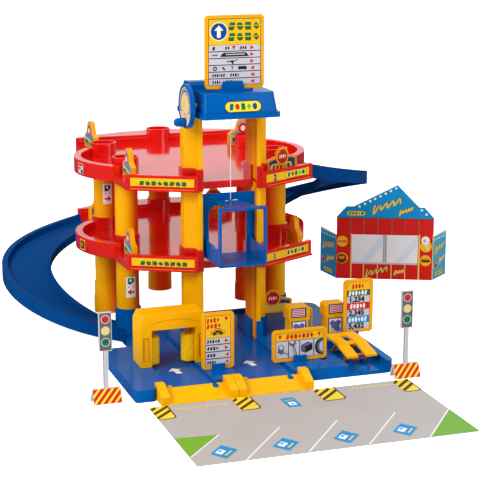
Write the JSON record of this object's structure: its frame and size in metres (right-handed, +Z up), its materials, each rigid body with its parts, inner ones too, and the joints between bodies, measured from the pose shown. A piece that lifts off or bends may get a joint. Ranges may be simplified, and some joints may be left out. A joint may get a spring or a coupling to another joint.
{
  "type": "toy parking garage with lift",
  "caption": "Toy parking garage with decks on round columns, curved ramps, a hand-cranked lift cabin in grooved rails, a wash arch, pumps, a small hoist and street signs.",
  "frame": {"origin": "middle of the base plate's underside, where the two ribs under it cross", "axes": "+X to the right seen from the street, +Y away from the street, +Z up"},
  "size_m": [0.7435, 0.782, 0.4605],
  "materials": {
    "blue_plastic": "glossy moulded plastic",
    "red_plastic": "glossy moulded plastic",
    "yellow_plastic": "satin moulded plastic",
    "orange_plastic": "satin moulded plastic",
    "foam": "matt foam",
    "cord": "thin twisted cord",
    "card": "printed card"
  },
  "bodies": {
    "garage": {"base_plate": "blue_plastic", "entry_ramp_left": "yellow_plastic", "entry_ramp_right": "yellow_plastic", "lower_deck": "red_plastic", "upper_deck": "red_plastic", "column_front_left_lower": "yellow_plastic", "column_front_left_upper": "yellow_plastic", "column_front_right_lower": "yellow_plastic", "column_front_right_upper": "yellow_plastic", "column_rear_left_foot": "yellow_plastic", "column_rear_left_lower": "yellow_plastic", "column_rear_left_upper": "yellow_plastic", "column_rear_right_foot": "yellow_plastic", "column_rear_right_lower": "yellow_plastic", "column_rear_right_upper": "yellow_plastic", "column_middle_foot": "yellow_plastic", "column_middle_lower": "yellow_plastic", "column_middle_upper": "yellow_plastic", "lift_rail_left_lower": "yellow_plastic", "lift_rail_left_middle": "yellow_plastic", "lift_rail_left_upper": "yellow_plastic", "lift_rail_right_lower": "yellow_plastic", "lift_rail_right_middle": "yellow_plastic", "lift_rail_right_upper": "yellow_plastic", "lift_head": "blue_plastic", "roof_sign": "yellow_plastic", "ramp_left": "blue_plastic", "ramp_right": "blue_plastic", "wash_arch": "yellow_plastic", "wash_sign": "yellow_plastic", "service_sign": "yellow_plastic", "price_sign": "yellow_plastic", "pump_left": "yellow_plastic", "pump_right": "yellow_plastic", "board_upper_rear_left": "yellow_plastic", "board_upper_front_left": "yellow_plastic", "board_upper_rear_right": "yellow_plastic", "board_lower_rear_left": "yellow_plastic", "board_lower_front_left": "yellow_plastic", "board_lower_front_right": "yellow_plastic", "stop_board_upper": "yellow_plastic", "stop_board_lower": "yellow_plastic", "stop_board_ground": "yellow_plastic", "kiosk_front": "card", "parking_mat": "card", "traffic_light_left": "card", "traffic_light_right": "card"},
    "cabin": {"lift_cabin": "blue_plastic", "lift_string": "cord"},
    "winch": {"winch_drum": "yellow_plastic", "crank_disc": "blue_plastic"},
    "knob": {"crank_knob": "blue_plastic"},
    "roller_left": {"wash_roller_core_left": "orange_plastic", "wash_roller_foam_left": "foam"},
    "roller_right": {"wash_roller_core_right": "orange_plastic", "wash_roller_foam_right": "foam"},
    "front_legs": {"hoist_legs_front": "orange_plastic"},
    "rear_legs": {"hoist_legs_rear": "orange_plastic"},
    "platform": {"hoist_platform": "yellow_plastic"}
  },
  "joints": [
    {"name": "lift", "type": "slide", "parent": "garage", "child": "cabin", "axis": [0, 0, 1], "range_m": [-0.1215, 0.1], "deforming": ["lift_string"]},
    {"name": "crank", "type": "hinge", "parent": "garage", "child": "winch", "pos_m": [-0.06, -0.005, 0.3435], "axis": [1, 0, 0], "range_deg": [-1162, 957]},
    {"name": "knob_spin", "type": "hinge", "parent": "winch", "child": "knob", "pos_m": [-0.07, -0.005, 0.323], "axis": [1, 0, 0], "continuous": true},
    {"name": "left_roller", "type": "hinge", "parent": "garage", "child": "roller_left", "pos_m": [-0.1285, -0.058, 0.03], "axis": [0, 0, 1], "continuous": true},
    {"name": "right_roller", "type": "hinge", "parent": "garage", "child": "roller_right", "pos_m": [-0.0785, -0.058, 0.03], "axis": [0, 0, 1], "continuous": true},
    {"name": "front_leg_swing", "type": "hinge", "parent": "garage", "child": "front_legs", "pos_m": [0.139, -0.11, 0.0086], "axis": [1, 0, 0], "range_deg": [-40, 36]},
    {"name": "rear_leg_swing", "type": "hinge", "parent": "garage", "child": "rear_legs", "pos_m": [0.139, -0.066, 0.0086], "axis": [1, 0, 0], "range_deg": [-40, 36]},
    {"name": "platform_pivot", "type": "hinge", "parent": "front_legs", "child": "platform", "pos_m": [0.139, -0.12, 0.0186], "axis": [1, 0, 0], "range_deg": [-36, 40]}
  ],
  "couplings": [
    {"joint": "crank", "follows": "lift", "rad_per_m": 166.67},
    {"joint": "rear_leg_swing", "follows": "front_leg_swing", "ratio": 1},
    {"joint": "platform_pivot", "follows": "front_leg_swing", "ratio": -1}
  ]
}
